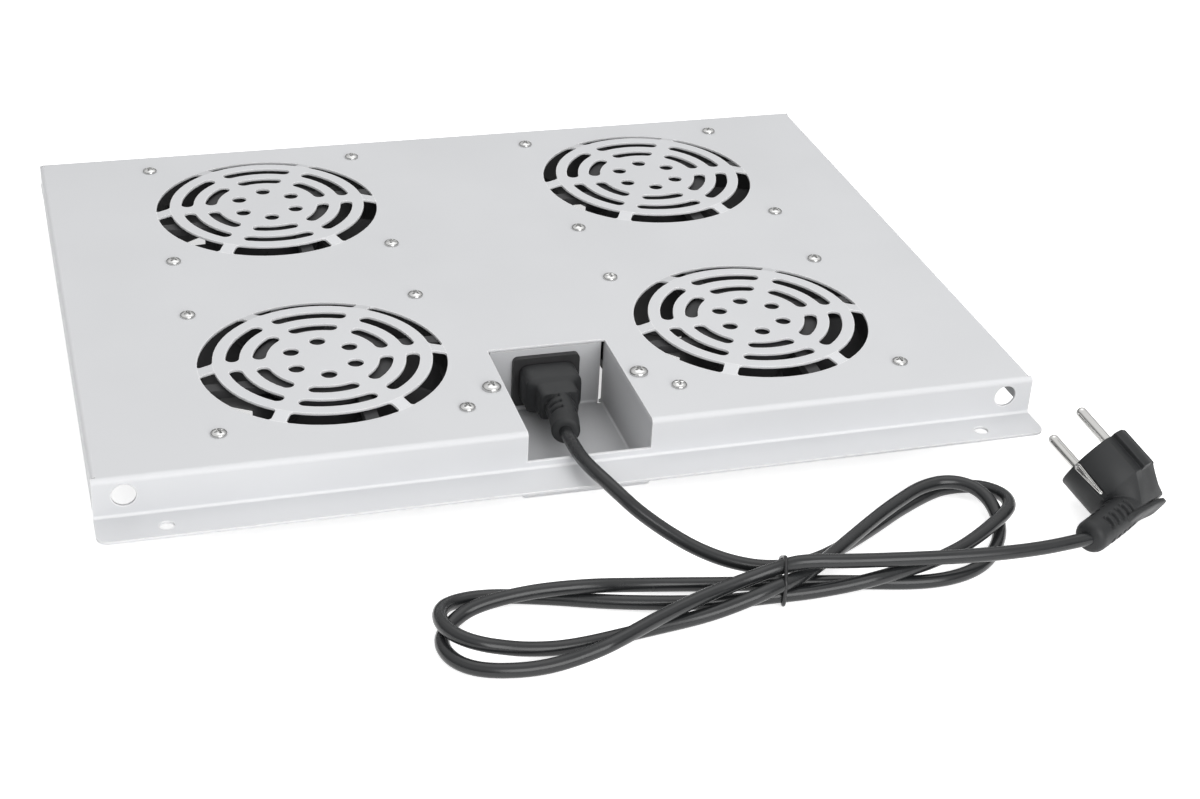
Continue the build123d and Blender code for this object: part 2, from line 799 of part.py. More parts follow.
with BuildPart() as cord_hank:
    with BuildSketch(Plane.XY.offset(hank_base)):
        for lobe, radius in ((left_lobe, left_lobe_radius), (right_lobe, right_lobe_radius)):
            waist = Vector(*hank_waist)
            lobe_way = (Vector(*lobe) - waist).normalized()
            shoulder = waist + lobe_way * hank_neck_length / 2
            throat = waist + lobe_way * lobe_throat
            with BuildSketch(mode=Mode.PRIVATE) as outline:
                with Locations(lobe):
                    Circle(radius)
                with Locations(shoulder):
                    Circle(hank_waist_radius + tie_thickness)
                make_hull()
            with BuildSketch(mode=Mode.PRIVATE) as opening:
                with Locations(lobe):
                    Circle(radius - lobe_strands)
                with Locations(throat):
                    Circle(cord_radius / 2)
                make_hull()
            add(outline.sketch)
            add(opening.sketch, mode=Mode.SUBTRACT)
        # Flat neck under the tie
        with Locations(hank_waist):
            Rectangle(hank_neck_length, 2 * hank_waist_radius)
            with GridLocations(0, 4 * hank_waist_radius, 1, 2):
                Rectangle(tie_width + 2 * tie_clearance, 2 * hank_waist_radius, mode=Mode.SUBTRACT)
    extrude(amount=hank_height)
save(cord_hank, "cord_hank")

with BuildPart() as cord_tie:
    with BuildSketch(Plane.YZ.offset(hank_waist[0])):
        inside_width = 2 * (hank_waist_radius + tie_clearance)
        inside_height = hank_height + 2 * tie_clearance
        with Locations((hank_waist[1], hank_base + hank_height / 2)):
            RectangleRounded(inside_width + 2 * tie_thickness, inside_height + 2 * tie_thickness, tie_thickness)
            Rectangle(inside_width, inside_height, mode=Mode.SUBTRACT)
    extrude(amount=tie_width / 2, both=True)
save(cord_tie, "cord_tie")
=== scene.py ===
import bmesh
import bpy
import numpy as np
from mathutils import Matrix, Vector


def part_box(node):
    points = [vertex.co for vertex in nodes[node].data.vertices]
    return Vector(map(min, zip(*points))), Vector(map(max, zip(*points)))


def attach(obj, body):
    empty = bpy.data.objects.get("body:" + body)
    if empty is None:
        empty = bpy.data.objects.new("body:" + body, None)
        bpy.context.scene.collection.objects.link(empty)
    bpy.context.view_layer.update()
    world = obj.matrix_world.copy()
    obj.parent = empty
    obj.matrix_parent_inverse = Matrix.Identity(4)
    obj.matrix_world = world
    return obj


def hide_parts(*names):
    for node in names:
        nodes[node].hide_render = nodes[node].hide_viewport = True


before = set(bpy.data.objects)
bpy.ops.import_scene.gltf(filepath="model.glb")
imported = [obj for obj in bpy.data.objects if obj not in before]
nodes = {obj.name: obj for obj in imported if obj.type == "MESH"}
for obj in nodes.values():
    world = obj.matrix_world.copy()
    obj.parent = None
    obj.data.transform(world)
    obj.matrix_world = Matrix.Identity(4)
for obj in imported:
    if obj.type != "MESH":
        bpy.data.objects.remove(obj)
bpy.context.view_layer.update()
scene = bpy.context.scene
scene.view_settings.view_transform = "Standard"
print("frame loaded with", len(nodes), "nodes")

# the photograph's view of the tray, from the front left and above
cameraView = {
    "place": (-0.232455, -0.873156, 0.493881),
    "right": (0.957685, -0.283478, 0.049800),
    "up": (0.102208, 0.496703, 0.861881),
    "lens": 62.76,
    "sensor": 36.0,
    "nearest": 0.01,
}
cameraData = bpy.data.cameras.new("trayCamera")
cameraData.lens = cameraView["lens"]
cameraData.sensor_width = cameraView["sensor"]
cameraData.clip_start = cameraView["nearest"]
camera = bpy.data.objects.new("trayCamera", cameraData)
scene.collection.objects.link(camera)
viewRight = Vector(cameraView["right"]).normalized()
viewBack = viewRight.cross(Vector(cameraView["up"])).normalized()
viewUp = viewBack.cross(viewRight)
cameraTurn = Matrix((viewRight, viewUp, viewBack)).transposed().to_4x4()
camera.matrix_world = Matrix.Translation(cameraView["place"]) @ cameraTurn
scene.camera = camera


def makePiece(name, shells, loops=(), crease=35.0):
    # each grid has rows along and columns round:
    # a shell is closed at both ends, and a loop runs back into itself
    corners, faces, start = [], [], 0
    grids = [(points, False) for points in shells] + [(points, True) for points in loops]
    for points, closedAlong in grids:
        rows, columns = points.shape[:2]
        index = start + np.arange(rows * columns).reshape(rows, columns)
        along = np.concatenate([index, index[:1]]) if closedAlong else index
        ring = np.concatenate([along, along[:, :1]], axis=1)
        quads = np.stack([ring[:-1, :-1], ring[:-1, 1:], ring[1:, 1:], ring[1:, :-1]], axis=-1)
        faces += quads.reshape(-1, 4).tolist()
        if not closedAlong:
            faces += [index[0, ::-1].tolist(), index[-1].tolist()]
        corners.append(points.reshape(-1, 3))
        start += rows * columns
    mesh = bpy.data.meshes.new(name)
    mesh.from_pydata(np.concatenate(corners).tolist(), [], faces)
    shell = bmesh.new()
    shell.from_mesh(mesh)
    bmesh.ops.recalc_face_normals(shell, faces=shell.faces)
    shell.to_mesh(mesh)
    shell.free()
    mesh.polygons.foreach_set("use_smooth", np.ones(len(mesh.polygons), dtype=bool))
    mesh.set_sharp_from_angle(angle=np.radians(crease))
    mesh.update()
    piece = bpy.data.objects.new(name, mesh)
    scene.collection.objects.link(piece)
    return piece


def unit(vectors):
    # the same directions with a length of one
    return np.array(vectors) / np.linalg.norm(vectors, axis=-1, keepdims=True)


def fullTurn(count):
    # angles at even steps once round a circle
    return np.linspace(0.0, 2.0 * np.pi, count, endpoint=False)


def ringsAt(path, first, second, radius, columns):
    # a circle at each point of a path, in the plane of two unit vectors given there;
    # the radius is one number or a grid
    turn = fullTurn(columns)[None, :, None]
    ring = np.cos(turn) * first[:, None, :] + np.sin(turn) * second[:, None, :]
    return path[:, None, :] + np.broadcast_to(radius, ring.shape[:2])[..., None] * ring


# the cord's route from the connector's relief, through the two turns of the hank, to the plug
cordRoute = {
    "lead": [
        (-0.0040, -0.1315, 0.0233), (-0.0050, -0.1470, 0.0258), (-0.0060, -0.1610, 0.0288),
        (-0.0050, -0.1725, 0.0302), (-0.0017, -0.1820, 0.0295), (0.0030, -0.1900, 0.0265),
        (0.0080, -0.1955, 0.0226), (0.0143, -0.2005, 0.0184), (0.0214, -0.2058, 0.0144),
        (0.0290, -0.2118, 0.0112), (0.0376, -0.2178, 0.0090), (0.0455, -0.2220, 0.0078),
        (0.0530, -0.2250, 0.0072), (0.0610, -0.2266, 0.0070),
    ],
    "rightOuter": [
        (0.0700, -0.2260, 0.0066), (0.0805, -0.2220, 0.0054), (0.0920, -0.2155, 0.0042),
        (0.1035, -0.2085, 0.0034), (0.1155, -0.2010, 0.0031), (0.1280, -0.1930, 0.0031),
        (0.1410, -0.1860, 0.0031), (0.1515, -0.1813, 0.0031), (0.1592, -0.1803, 0.0033),
        (0.1665, -0.1824, 0.0044), (0.1722, -0.1872, 0.0058), (0.1755, -0.1940, 0.0072),
        (0.1759, -0.2014, 0.0085), (0.1733, -0.2084, 0.0095), (0.1680, -0.2140, 0.0099),
        (0.1605, -0.2194, 0.0097), (0.1515, -0.2252, 0.0090), (0.1405, -0.2312, 0.0083),
        (0.1300, -0.2356, 0.0081), (0.1200, -0.2394, 0.0084), (0.1095, -0.2426, 0.0092),
        (0.0995, -0.2450, 0.0094), (0.0905, -0.2460, 0.0088), (0.0820, -0.2454, 0.0074),
        (0.0740, -0.2442, 0.0060), (0.0660, -0.2432, 0.0050), (0.0575, -0.2424, 0.0046),
    ],
    "leftUpper": [
        (0.0490, -0.2415, 0.0042), (0.0400, -0.2404, 0.0035), (0.0300, -0.2390, 0.0031),
        (0.0180, -0.2368, 0.0031), (0.0050, -0.2340, 0.0031), (-0.0080, -0.2307, 0.0031),
        (-0.0200, -0.2269, 0.0031), (-0.0320, -0.2226, 0.0031), (-0.0430, -0.2192, 0.0031),
        (-0.0520, -0.2170, 0.0033), (-0.0600, -0.2161, 0.0037), (-0.0676, -0.2168, 0.0044),
        (-0.0743, -0.2192, 0.0054), (-0.0794, -0.2241, 0.0074), (-0.0824, -0.2305, 0.0088),
        (-0.0828, -0.2376, 0.0096), (-0.0805, -0.2443, 0.0098), (-0.0759, -0.2497, 0.0096),
        (-0.0695, -0.2529, 0.0086), (-0.0630, -0.2540, 0.0072), (-0.0560, -0.2543, 0.0054),
        (-0.0480, -0.2543, 0.0040), (-0.0400, -0.2543, 0.0032), (-0.0310, -0.2540, 0.0031),
        (-0.0230, -0.2531, 0.0031), (-0.0145, -0.2519, 0.0031), (-0.0060, -0.2507, 0.0031),
        (0.0025, -0.2495, 0.0031), (0.0110, -0.2484, 0.0031), (0.0195, -0.2474, 0.0034),
        (0.0280, -0.2472, 0.0049), (0.0360, -0.2474, 0.0074), (0.0430, -0.2470, 0.0094),
        (0.0495, -0.2455, 0.0105),
    ],
    "rightInner": [
        (0.0560, -0.2433, 0.0109), (0.0630, -0.2402, 0.0106), (0.0710, -0.2356, 0.0102),
        (0.0800, -0.2294, 0.0098), (0.0910, -0.2208, 0.0096), (0.1055, -0.2097, 0.0094),
        (0.1185, -0.2002, 0.0094), (0.1310, -0.1922, 0.0094), (0.1390, -0.1876, 0.0095),
        (0.1456, -0.1854, 0.0097), (0.1526, -0.1848, 0.0100), (0.1593, -0.1870, 0.0101),
        (0.1648, -0.1916, 0.0095), (0.1681, -0.1980, 0.0078), (0.1688, -0.2050, 0.0055),
        (0.1674, -0.2122, 0.0037), (0.1644, -0.2190, 0.0031), (0.1600, -0.2256, 0.0031),
        (0.1546, -0.2320, 0.0031), (0.1480, -0.2378, 0.0031), (0.1395, -0.2420, 0.0031),
        (0.1300, -0.2442, 0.0031), (0.1200, -0.2444, 0.0031), (0.1100, -0.2430, 0.0031),
        (0.1000, -0.2406, 0.0031), (0.0900, -0.2383, 0.0031), (0.0795, -0.2364, 0.0034),
        (0.0695, -0.2352, 0.0040), (0.0610, -0.2340, 0.0046),
    ],
    "leftLower": [
        (0.0530, -0.2324, 0.0044), (0.0450, -0.2305, 0.0038), (0.0360, -0.2280, 0.0033),
        (0.0260, -0.2256, 0.0031), (0.0150, -0.2236, 0.0033), (0.0040, -0.2230, 0.0044),
        (-0.0070, -0.2236, 0.0064), (-0.0160, -0.2248, 0.0084), (-0.0245, -0.2252, 0.0094),
        (-0.0330, -0.2249, 0.0096), (-0.0410, -0.2248, 0.0096), (-0.0485, -0.2248, 0.0092),
        (-0.0560, -0.2246, 0.0082), (-0.0630, -0.2246, 0.0068), (-0.0700, -0.2256, 0.0052),
        (-0.0762, -0.2290, 0.0036), (-0.0810, -0.2342, 0.0031), (-0.0837, -0.2407, 0.0031),
        (-0.0834, -0.2478, 0.0031), (-0.0805, -0.2543, 0.0031), (-0.0754, -0.2592, 0.0031),
        (-0.0687, -0.2622, 0.0031), (-0.0615, -0.2638, 0.0031), (-0.0545, -0.2646, 0.0031),
        (-0.0465, -0.2648, 0.0035), (-0.0385, -0.2648, 0.0048), (-0.0310, -0.2648, 0.0068),
        (-0.0245, -0.2643, 0.0086), (-0.0180, -0.2620, 0.0094), (-0.0110, -0.2584, 0.0095),
        (-0.0020, -0.2536, 0.0095), (0.0080, -0.2488, 0.0095), (0.0175, -0.2446, 0.0096),
        (0.0270, -0.2414, 0.0100), (0.0365, -0.2390, 0.0108),
    ],
    "tail": [
        (0.0455, -0.2373, 0.0120), (0.0540, -0.2367, 0.0138), (0.0620, -0.2382, 0.0170),
        (0.0700, -0.2400, 0.0178), (0.0780, -0.2410, 0.0172), (0.0890, -0.2418, 0.0163),
        (0.1020, -0.2430, 0.0157), (0.1180, -0.2444, 0.0150), (0.1340, -0.2454, 0.0143),
        (0.1500, -0.2460, 0.0137), (0.1650, -0.2458, 0.0133), (0.1780, -0.2450, 0.0132),
        (0.1950, -0.2432, 0.0135),
    ],
}
cordLook = {"radius": 0.0030, "length": 1.440, "roundness": 6, "steps": 12}
cordCurve = bpy.data.curves.new("mainsCord", "CURVE")
cordCurve.dimensions = "3D"
cordCurve.bevel_depth = cordLook["radius"]
cordCurve.bevel_resolution = cordLook["roundness"]
cordCurve.resolution_u = cordLook["steps"]
cordCurve.use_fill_caps = True
routePoints = np.array(sum(cordRoute.values(), []))
cordSpline = cordCurve.splines.new("NURBS")
cordSpline.points.add(len(routePoints) - 1)
weighted = np.concatenate([routePoints, np.ones((len(routePoints), 1))], axis=1)
cordSpline.points.foreach_set("co", weighted.ravel())
cordSpline.order_u = 3  # set after the points, so that the line is curved
cordSpline.use_endpoint_u = True
mainsCord = bpy.data.objects.new("mainsCord", cordCurve)
scene.collection.objects.link(mainsCord)
print("cord laid through", len(routePoints), "points")

# a thin tie pulled tight round the five strands of the hank's waist
tieLook = {
    "strands": [(-0.2264, 0.0070), (-0.2374, 0.0150), (-0.2422, 0.0108), (-0.2424, 0.0047), (-0.2338, 0.0046)],
    "place": 0.0586,
    "lean": 0.30,
    "thread": 0.0008,
    "steps": 160,
    "columns": 12,
}


def tieLoop(look):
    # each direction round the loop touches the strand that reaches furthest that way,
    # one cord radius and one thread radius out from the strand's middle
    angle = fullTurn(look["steps"])
    outward = np.stack([np.cos(angle), np.sin(angle)], axis=1)
    strands = np.array(look["strands"])
    furthest = np.argmax(outward @ strands.T, axis=1)
    flat = strands[furthest] + (cordLook["radius"] + look["thread"]) * outward
    x = look["place"] + look["lean"] * (flat[:, 0] - strands[:, 0].mean())
    path = np.column_stack([x, flat])
    way = unit(np.roll(path, -1, axis=0) - np.roll(path, 1, axis=0))
    out = np.column_stack([np.zeros(len(angle)), outward])
    out = unit(out - (out * way).sum(axis=1, keepdims=True) * way)
    return ringsAt(path, out, np.cross(way, out), look["thread"], look["columns"])


hankTie = makePiece("hankTie", [], [tieLoop(tieLook)])
print("tie closed round the waist")


def softStep(value, edge, width):
    # a smooth step from 0 to 1 where value passes edge
    return 0.5 + 0.5 * np.tanh((value - edge) / width)


def squaredRound(turn, power):
    # a circle pushed out towards a square: cosine and sine to a power below one, with their signs kept
    return [np.sign(wave) * np.abs(wave) ** power for wave in (np.cos(turn), np.sin(turn))]


# how softly a sleeve's slots are cut, along it and round it, and the width that is left at its end
slotCut = {"ends": 0.01, "along": 0.1, "alongBlur": 0.25, "round": -0.1, "roundBlur": 0.15, "endWidth": 0.62}


def ribbedSleeve(look):
    # a tube on a parabola drawn towards the knee: its radius tapers, rounds over at its end,
    # and is cut by rows of short slots
    share = np.linspace(0.0, 1.0, look["rows"])[:, None]
    first, knee, last = (np.array(look[key]) for key in ("from", "knee", "to"))
    way = (1.0 - share) ** 2 * first + 2.0 * share * (1.0 - share) * knee + share ** 2 * last
    ahead = unit(np.gradient(way, axis=0))
    side = unit(np.cross(ahead, (0.0, 0.0, 1.0)))
    taper = look["radius"][0] + (look["radius"][1] - look["radius"][0]) * share
    slotShare = (share - look["slots"][0]) / (look["slots"][1] - look["slots"][0])
    inSlots = softStep(slotShare, 0.0, slotCut["ends"]) * softStep(-slotShare, -1.0, slotCut["ends"])
    wave = np.cos(2.0 * np.pi * look["slotCount"] * slotShare - np.pi)
    along = softStep(wave, slotCut["along"], slotCut["alongBlur"]) * inSlots
    wave = np.cos(look["slotSides"] * (fullTurn(look["columns"])[None, :] - look["slotTurn"]))
    sides = softStep(wave, slotCut["round"], slotCut["roundBlur"])
    pastEnd = np.clip((share - look["endFrom"]) / (1.0 - look["endFrom"]), 0.0, 1.0)
    endRound = slotCut["endWidth"] + (1.0 - slotCut["endWidth"]) * np.sqrt(1.0 - pastEnd ** 2)
    radius = taper * endRound - look["slotDepth"] * along * sides
    return ringsAt(way, side, np.cross(side, ahead), radius, look["columns"])


# the mains plug as it lies in the photograph, on its back edge with the pins up and to the left
plugLook = {
    "face": (0.2152, -0.1997, 0.0246),
    "pinWay": (-0.420018, 0.776739, 0.469320),
    "pinLine": (0.398345, -0.306870, 0.864379),
    "radius": 0.0175, "flat": 0.0150, "ridge": 0.0040, "channel": 0.0019, "channelDepth": 0.0008,
    "frontDepth": 0.0190, "capDepth": 0.0120, "capHalf": (0.0070, 0.0126), "capShift": 0.0004,
    "capFlare": 0.0030, "squareness": 0.4, "columns": 288,
    # how far behind the face each ring stands, and the share of its width that it keeps
    "back": (0.0, 0.0003, 0.0008, 0.0095, 0.0186, 0.0190, 0.0194, 0.0230, 0.0270, 0.0304, 0.0310),
    "keep": (0.975, 0.99, 1.0, 1.0, 1.0, 0.988, 0.97, 0.97, 0.97, 0.985, 0.95),
}
pinWay = unit(plugLook["pinWay"])
pinLine = unit(plugLook["pinLine"])
plugSide = np.cross(pinWay, pinLine)


def onPlug(across, aside, ahead):
    # from the plug's own axes, along the line of the pins, away from the cord and out of the face
    parts = np.broadcast_arrays(across, aside, ahead)
    return np.array(plugLook["face"]) + sum(
        part[..., None] * axis for part, axis in zip(parts, (pinLine, plugSide, pinWay)))


def plugShell(look):
    # a round with two flats, each with a ridge, and two channels,
    # carried back and then drawn in to a small oblong that spreads towards the lip
    turn = fullTurn(look["columns"])
    cosine, sine = np.cos(turn), np.sin(turn)
    radius, front = look["radius"], look["frontDepth"]
    flatted = np.minimum(radius, look["flat"] / np.maximum(np.abs(cosine), 1e-6))  # never divided by zero
    ridged = np.where(np.abs(radius * sine) < look["ridge"], radius, flatted)
    ridged = np.where(np.abs(radius * cosine) < look["channel"], radius - look["channelDepth"], ridged)
    capX, capY = squaredRound(turn, look["squareness"])
    capX = look["capHalf"][0] * capX
    capY = look["capHalf"][1] * capY + look["capShift"]
    back, keep = (np.array(look[key])[:, None] for key in ("back", "keep"))
    outline = np.where(back <= front, ridged, flatted)
    drawn = np.clip((back - front) / look["capDepth"], 0.0, 1.0)
    x = keep * ((1.0 - drawn) * outline * cosine + drawn * capX)
    y = keep * ((1.0 - drawn) * outline * sine + drawn * capY)
    y = y + look["capFlare"] * drawn ** 3 * np.clip(sine, 0.0, 1.0)
    return onPlug(x, y, -back)


lipLook = {
    "from": -0.0230, "to": 0.0150, "half": (0.0068, 0.0019), "narrowing": 0.12, "thinning": 0.25,
    "curl": 0.0012, "curlFrom": 0.62, "endPower": 12, "endLeast": 0.02, "sunk": 0.0004,
    "squareness": 0.5, "rows": 40, "columns": 48,
}


def plugLip(look):
    # an oblong plate on the back that thins and curls away towards the lip
    share = np.linspace(0.0, 1.0, look["rows"])[:, None]
    x, z = squaredRound(fullTurn(look["columns"])[None, :], look["squareness"])
    ends = np.clip(1.0 - np.abs(2.0 * share - 1.0) ** look["endPower"], look["endLeast"], 1.0) ** 0.5
    wide = look["half"][0] * ends * (1.0 - look["narrowing"] * share)
    thick = look["half"][1] * ends * (1.0 - look["thinning"] * share)
    curl = look["curl"] * np.clip((share - look["curlFrom"]) / (1.0 - look["curlFrom"]), 0.0, 1.0) ** 2
    y = look["from"] + (look["to"] - look["from"]) * share
    middle = plugLook["frontDepth"] + plugLook["capDepth"] + look["half"][1] - look["sunk"]
    return onPlug(wide * x, y, thick * z - curl - middle)


# the ribbed outlet, out of the plug's side and round to the end of the cord
outletLook = {
    "depth": 0.0255, "aside": 0.0156, "behind": 0.0033, "to": (0.1912, -0.2438, 0.0134),
    "radius": (0.0079, 0.0072), "rows": 160, "columns": 96, "slots": (0.40, 0.86), "slotCount": 5,
    "slotSides": 4, "slotTurn": 0.55, "slotDepth": 0.0016, "endFrom": 0.93,
}
outletLook["from"] = onPlug(0.0, 0.0, -outletLook["depth"])
outletLook["knee"] = onPlug(0.0, -outletLook["aside"], -outletLook["depth"] - outletLook["behind"])
plugBody = makePiece("plugBody", [plugShell(plugLook), plugLip(lipLook), ribbedSleeve(outletLook)])

# two round pins with domed tips, and the earth strips let into the plug's sides
pinLook = {
    "radius": 0.0024, "length": 0.0190, "sunk": 0.0035, "gauge": 0.0190, "domeRows": 14, "columns": 40,
}


def plugPin(look, sign):
    # a cylinder with a half round end, turned about its own line
    slope = np.linspace(0.0, 0.5 * np.pi, look["domeRows"])[:-1]
    dome = look["length"] - look["radius"] * (1.0 - np.sin(slope))
    height = np.concatenate([[-look["sunk"], 0.0], dome])[:, None]
    width = look["radius"] * np.concatenate([[1.0, 1.0], np.cos(slope)])[:, None]
    turn = fullTurn(look["columns"])
    return onPlug(sign * look["gauge"] / 2.0 + width * np.cos(turn), width * np.sin(turn), height)


plugPins = makePiece("plugPins", [plugPin(pinLook, sign) for sign in (1.0, -1.0)])
stripLook = {
    "half": 0.0018, "thick": 0.0007, "length": 0.0165, "setback": 0.0004, "narrowing": 0.60, "proud": 0.55,
    "endRounds": (0.0008, 0.0006), "endLeast": 0.3, "squareness": 0.6, "rows": 40, "columns": 32,
}


def earthStrip(look, sign):
    # a flat strip with a rounded crown that narrows to a blunt inner end
    along = np.linspace(0.0, look["length"], look["rows"])[:, None]
    x, z = squaredRound(fullTurn(look["columns"])[None, :], look["squareness"])
    outer = np.clip(along / look["endRounds"][0], look["endLeast"], 1.0) ** 0.5
    inner = np.clip((look["length"] - along) / look["endRounds"][1], look["endLeast"], 1.0) ** 0.5
    size = (1.0 - look["narrowing"] * along / look["length"]) * inner * outer
    crown = look["thick"] * (look["proud"] + size * z)
    y = sign * (plugLook["radius"] - plugLook["channelDepth"] + crown)
    return onPlug(look["half"] * size * x, y, -look["setback"] - along)


earthStrips = makePiece("earthStrips", [earthStrip(stripLook, sign) for sign in (1.0, -1.0)])

# the connector in the recess, and the ribbed sleeve where the lead leaves it
reliefLook = {
    "from": (0.0, -0.1020, 0.0222), "knee": (-0.0004, -0.1180, 0.0224), "to": (-0.0040, -0.1318, 0.0233),
    "radius": (0.0069, 0.0063), "rows": 120, "columns": 96, "slots": (0.16, 0.66), "slotCount": 3,
    "slotSides": 3, "slotTurn": 0.9, "slotDepth": 0.0015, "endFrom": 0.95,
}
connectorLook = {
    "nose": 0.0166, "level": 0.0222, "squareness": 0.36, "columns": 96,
    # how far behind the face each oblong stands, and its half width and half height
    "back": (-0.0166, -0.0160, 0.0, 0.0, 0.0005, 0.0122, 0.0131, 0.0145, 0.0151, 0.0218, 0.0230),
    "halfWide": (0.0114, 0.0118, 0.0118, 0.0123, 0.0129, 0.0129, 0.0123, 0.0097, 0.0093, 0.0091, 0.0082),
    "halfTall": (0.0075, 0.0079, 0.0079, 0.0085, 0.0091, 0.0091, 0.0086, 0.0077, 0.0074, 0.0072, 0.0066),
}


def connectorShell(look, faceY):
    # rounded oblongs of changing width and height, one behind the other from the nose to the waist
    x, z = squaredRound(fullTurn(look["columns"])[None, :], look["squareness"])
    wide, tall, back = (np.array(look[key])[:, None] for key in ("halfWide", "halfTall", "back"))
    return np.stack(np.broadcast_arrays(wide * x, faceY - back, look["level"] + tall * z), axis=-1)


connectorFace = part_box("cord_connector")[1][1] - connectorLook["nose"]
cordConnector = makePiece(
    "cordConnector", [connectorShell(connectorLook, connectorFace), ribbedSleeve(reliefLook)])
print("plug and relief shaped")

# where the shafts of the four fans stand on the tray
fanPlaces = {
    "back_left": (-0.1, 0.083), "back_right": (0.1, 0.083),
    "front_left": (-0.1, -0.077), "front_right": (0.1, -0.077),
}

# pan head screws with a cross recess, on the squares of the four fans and beside the recess
screwLook = {
    "seat": 0.0392, "shank": 0.0020, "tip": 0.3, "brim": 0.25, "domeRound": 0.97, "domeFrom": (0.01, 0.06),
    "rows": 26, "columns": 80, "crossWidth": 0.00042, "crossReach": 0.0019, "crossDepth": 0.0009,
    "crossBlur": 0.00009, "crossSlope": (1.2, 0.6), "firstTurn": 0.4, "nextTurn": 1.7,
    "fan": {"head": 0.0035, "height": 0.0020, "length": 0.0120},
    "bracket": {"head": 0.0042, "height": 0.0026, "length": 0.0090},
    "fanPitch": 0.105, "bracketSpots": [(-0.0334, -0.1152), (0.0334, -0.1152)],
}
squareCorners = screwLook["fanPitch"] / 2.0 * np.array([(a, b) for a in (-1, 1) for b in (-1, 1)])
screwSpots = {
    "fan": (np.array(sorted(fanPlaces.values()))[:, None, :] + squareCorners).reshape(-1, 2),
    "bracket": np.array(screwLook["bracketSpots"]),
}


def panScrew(look, size, spot, turned):
    # a domed head, its seat and a plain shank turned about the screw's line, with a cross pressed into the dome
    turn = fullTurn(look["columns"])[None, :]
    middle, start = look["domeFrom"]
    share = np.concatenate([[middle], np.linspace(start, 1.0, look["rows"])])
    dome = look["brim"] + (1.0 - look["brim"]) * np.sqrt(1.0 - look["domeRound"] * share ** 2)
    dome = size["height"] * (dome + 1.0 - dome.max())
    shank = [look["shank"], look["shank"], look["tip"] * look["shank"]]
    reach = np.concatenate([share * size["head"], [size["head"]], shank])[:, None]
    level = np.concatenate([dome, [0.0, 0.0, -size["length"], -size["length"]]])[:, None]
    x, y = reach * np.cos(turn), reach * np.sin(turn)
    wide, far, blur = look["crossWidth"], look["crossReach"], look["crossBlur"]
    arms = [softStep(-np.abs(a), -wide, blur) * softStep(-np.abs(b), -far, 2.0 * blur)
            for a, b in ((x, y), (y, x))]
    cross = np.maximum(*arms) * (level > 0.0)
    z = level - look["crossDepth"] * cross * (look["crossSlope"][0] - look["crossSlope"][1] * reach / far)
    c, s = np.cos(turned), np.sin(turned)
    return np.stack([spot[0] + c * x - s * y, spot[1] + s * x + c * y, look["seat"] + z], axis=-1)


def screwSet(name, kind):
    # one screw on each spot, each driven to an angle of its own
    turns = screwLook["firstTurn"] + screwLook["nextTurn"] * np.arange(len(screwSpots[kind]))
    return makePiece(name, [panScrew(screwLook, screwLook[kind], spot, turned)
                            for spot, turned in zip(screwSpots[kind], turns)])


fanScrews = screwSet("fanScrews", "fan")
bracketScrews = screwSet("bracketScrews", "bracket")
print("screws turned")

# impellers at the angles where they stopped, seven twisted blades on a ring
impellerLook = {
    "hub": 0.0315, "hubWall": 0.0020, "foot": 0.0040, "height": 0.0270, "tip": 0.0565, "blades": 7,
    "rise": 0.0250, "reach": (0.0130, 0.0210), "camber": 0.0030, "thick": 0.0020, "sweep": 10.0,
    "span": (0.0265, 0.0595), "chordPoints": 17, "rows": 12, "rounds": 4, "hubRows": 96,
    "stopped": {"back_left": 32.0, "back_right": 34.0, "front_left": 12.0, "front_right": 47.0},
}


def aboutShaft(place, radius, turn, z):
    # from a distance and an angle about a fan's shaft, and a height
    x, y = place[0] + radius * np.cos(turn), place[1] + radius * np.sin(turn)
    return np.stack(np.broadcast_arrays(x, y, z), axis=-1)


def fanBlade(look, angle, place):
    # a cambered section with two faces, wider and turned further towards the tip,
    # bent onto circles about the shaft
    chord = np.linspace(-1.0, 1.0, look["chordPoints"])
    c = np.concatenate([chord, chord[-2:0:-1]])[None, :]
    halfThick = np.where(np.arange(c.size) < chord.size, 0.5, -0.5) * look["thick"]
    hump = (look["camber"] + halfThick) * (1.0 - c ** 2)
    radius = np.linspace(look["hub"] - look["hubWall"] / 2.0, look["tip"], look["rows"])[:, None]
    root, tip = look["span"]
    share = (radius - root) / (tip - root)
    for settle in range(look["rounds"]):  # the width follows the share of the span, and the share the width
        reach = look["reach"][0] + (look["reach"][1] - look["reach"][0]) * share
        size = np.hypot(look["rise"], 2.0 * reach)
        x = c * reach + look["rise"] / size * hump
        share = (np.sqrt(radius ** 2 - x ** 2) - root) / (tip - root)
    z = look["foot"] + look["height"] / 2.0 + c * look["rise"] / 2.0 - 2.0 * reach / size * hump
    turn = np.radians(angle - look["sweep"] * share) + np.arcsin(x / radius)
    return aboutShaft(place, radius, turn, z)


def hubRing(look, place):
    # an oblong section carried round the shaft
    inner, outer = look["hub"] - look["hubWall"], look["hub"]
    low, high = look["foot"], look["foot"] + look["height"]
    radius, z = np.array([inner, outer, outer, inner]), np.array([low, low, high, high])
    return aboutShaft(place, radius, fullTurn(look["hubRows"])[:, None], z)


impellers = {}
for end, place in fanPlaces.items():
    angles = impellerLook["stopped"][end] + np.arange(impellerLook["blades"]) * 360.0 / impellerLook["blades"]
    blades = [fanBlade(impellerLook, angle, place) for angle in angles]
    name = "impeller" + end.title().replace("_", "")
    impellers[end] = makePiece(name, blades, [hubRing(impellerLook, place)])
print("impellers set at their angles")


